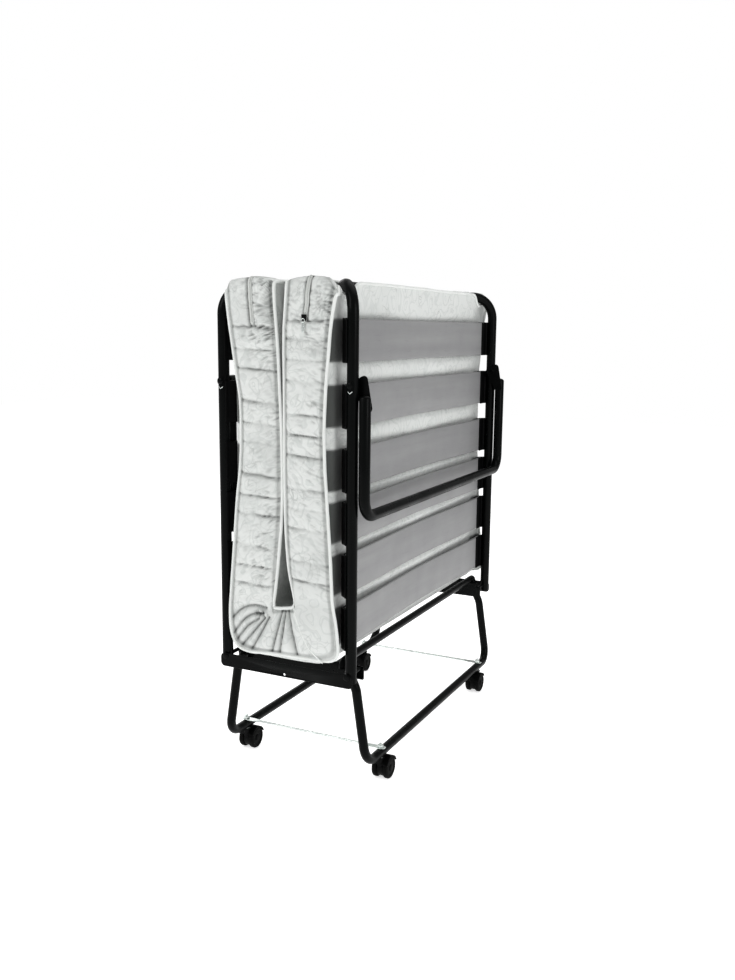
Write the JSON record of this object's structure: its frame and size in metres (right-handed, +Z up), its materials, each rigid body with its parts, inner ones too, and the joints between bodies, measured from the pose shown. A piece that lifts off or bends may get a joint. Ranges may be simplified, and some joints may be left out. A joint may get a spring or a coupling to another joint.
{
  "type": "folding cot",
  "caption": "Folding guest bed with a slatted tube frame, folded mattress, hinged halves, swing-down end legs and a wheeled base.",
  "frame": {"origin": "on the floor under the centre of the folded cot", "axes": "+Z up, X from the left half to the right half, Y along the bed's width, the folded shape is symmetric in X and Y"},
  "size_m": [0.3636, 0.82, 1.01],
  "materials": {
    "black_tube": "gloss black enamel",
    "black_plastic": "semi-matt moulded",
    "grey_slat": "satin grey foil on laminated wood",
    "zinc": "bright zinc plate",
    "caster_black": "moulded nylon",
    "ticking": "woven damask ticking"
  },
  "bodies": {
    "base": {"near_bracket": "black_tube", "near_tie_link": "zinc", "far_bracket": "black_tube", "far_tie_link": "zinc", "mattress_fold": "ticking", "left_base_leg": "black_tube", "left_support_bar": "black_tube", "right_base_leg": "black_tube", "right_support_bar": "black_tube"},
    "left_half": {"left_frame_tube": "black_tube", "left_mattress": "ticking", "left_slat_1": "grey_slat", "left_holder_1_near": "black_plastic", "left_holder_1_far": "black_plastic", "left_slat_2": "grey_slat", "left_holder_2_near": "black_plastic", "left_holder_2_far": "black_plastic", "left_slat_3": "grey_slat", "left_holder_3_near": "black_plastic", "left_holder_3_far": "black_plastic", "left_slat_4": "grey_slat", "left_holder_4_near": "black_plastic", "left_holder_4_far": "black_plastic", "left_slat_5": "grey_slat", "left_holder_5_near": "black_plastic", "left_holder_5_far": "black_plastic", "left_slat_6": "grey_slat", "left_holder_6_near": "black_plastic", "left_holder_6_far": "black_plastic"},
    "left_leg": {"left_end_leg": "black_tube"},
    "left_near_caster": {"left_near_caster_housing": "caster_black"},
    "left_near_wheels": {"left_near_caster_wheels": "caster_black"},
    "left_far_caster": {"left_far_caster_housing": "caster_black"},
    "left_far_wheels": {"left_far_caster_wheels": "caster_black"},
    "right_half": {"right_frame_tube": "black_tube", "right_mattress": "ticking", "right_slat_1": "grey_slat", "right_holder_1_near": "black_plastic", "right_holder_1_far": "black_plastic", "right_slat_2": "grey_slat", "right_holder_2_near": "black_plastic", "right_holder_2_far": "black_plastic", "right_slat_3": "grey_slat", "right_holder_3_near": "black_plastic", "right_holder_3_far": "black_plastic", "right_slat_4": "grey_slat", "right_holder_4_near": "black_plastic", "right_holder_4_far": "black_plastic", "right_slat_5": "grey_slat", "right_holder_5_near": "black_plastic", "right_holder_5_far": "black_plastic", "right_slat_6": "grey_slat", "right_holder_6_near": "black_plastic", "right_holder_6_far": "black_plastic"},
    "right_leg": {"right_end_leg": "black_tube"},
    "right_near_caster": {"right_near_caster_housing": "caster_black"},
    "right_near_wheels": {"right_near_caster_wheels": "caster_black"},
    "right_far_caster": {"right_far_caster_housing": "caster_black"},
    "right_far_wheels": {"right_far_caster_wheels": "caster_black"}
  },
  "joints": [
    {"name": "left_fold", "type": "hinge", "parent": "base", "child": "left_half", "pos_m": [-0.14, 0, 0.252], "axis": [0, -1, 0], "range_deg": [0, 90]},
    {"name": "left_leg_swing", "type": "hinge", "parent": "left_half", "child": "left_leg", "pos_m": [-0.143, 0, 0.814], "axis": [0, 1, 0], "range_deg": [0, 106.5]},
    {"name": "left_near_swivel", "type": "hinge", "parent": "base", "child": "left_near_caster", "pos_m": [-0.1628, -0.2905, 0.049], "axis": [0, 0, 1], "continuous": true},
    {"name": "left_near_roll", "type": "hinge", "parent": "left_near_caster", "child": "left_near_wheels", "pos_m": [-0.1628, -0.275, 0.023], "axis": [1, 0, 0], "continuous": true},
    {"name": "left_far_swivel", "type": "hinge", "parent": "base", "child": "left_far_caster", "pos_m": [-0.1628, 0.2905, 0.049], "axis": [0, 0, 1], "continuous": true},
    {"name": "left_far_roll", "type": "hinge", "parent": "left_far_caster", "child": "left_far_wheels", "pos_m": [-0.1628, 0.275, 0.023], "axis": [1, 0, 0], "continuous": true},
    {"name": "right_fold", "type": "hinge", "parent": "base", "child": "right_half", "pos_m": [0.14, 0, 0.252], "axis": [0, 1, 0], "range_deg": [0, 90]},
    {"name": "right_leg_swing", "type": "hinge", "parent": "right_half", "child": "right_leg", "pos_m": [0.143, 0, 0.814], "axis": [0, -1, 0], "range_deg": [0, 102]},
    {"name": "right_near_swivel", "type": "hinge", "parent": "base", "child": "right_near_caster", "pos_m": [0.1628, -0.2905, 0.049], "axis": [0, 0, 1], "continuous": true},
    {"name": "right_near_roll", "type": "hinge", "parent": "right_near_caster", "child": "right_near_wheels", "pos_m": [0.1628, -0.275, 0.023], "axis": [1, 0, 0], "continuous": true},
    {"name": "right_far_swivel", "type": "hinge", "parent": "base", "child": "right_far_caster", "pos_m": [0.1628, 0.2905, 0.049], "axis": [0, 0, 1], "continuous": true},
    {"name": "right_far_roll", "type": "hinge", "parent": "right_far_caster", "child": "right_far_wheels", "pos_m": [0.1628, 0.275, 0.023], "axis": [1, 0, 0], "continuous": true}
  ],
  "couplings": [
    {"joint": "left_leg_swing", "follows": "left_fold", "ratio": 1.183},
    {"joint": "right_leg_swing", "follows": "right_fold", "ratio": 1.13}
  ]
}
